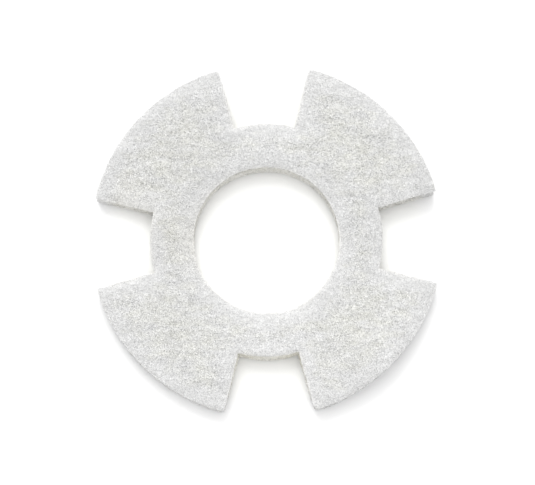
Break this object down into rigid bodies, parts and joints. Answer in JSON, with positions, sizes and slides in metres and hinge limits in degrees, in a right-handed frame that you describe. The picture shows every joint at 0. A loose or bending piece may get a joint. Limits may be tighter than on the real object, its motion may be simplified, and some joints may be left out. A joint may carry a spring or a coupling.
{
  "type": "notched fibre polishing pad",
  "caption": "Flat die-cut ring of lofty white fibre with wide lobes round its rim, radial notches between them and a large centre bore, for polishing on a rotary drive plate.",
  "frame": {"origin": "centre of the bore, on the pad's underside", "axes": "+Z along the bore's axis, out of the upper working face; +X and +Y run through the middles of two neighbouring notches"},
  "size_m": [0.1952, 0.1952, 0.01],
  "materials": {
    "white_fibre": "matte"
  },
  "bodies": {
    "root": {"fibre_pad": "white_fibre"}
  },
  "joints": []
}
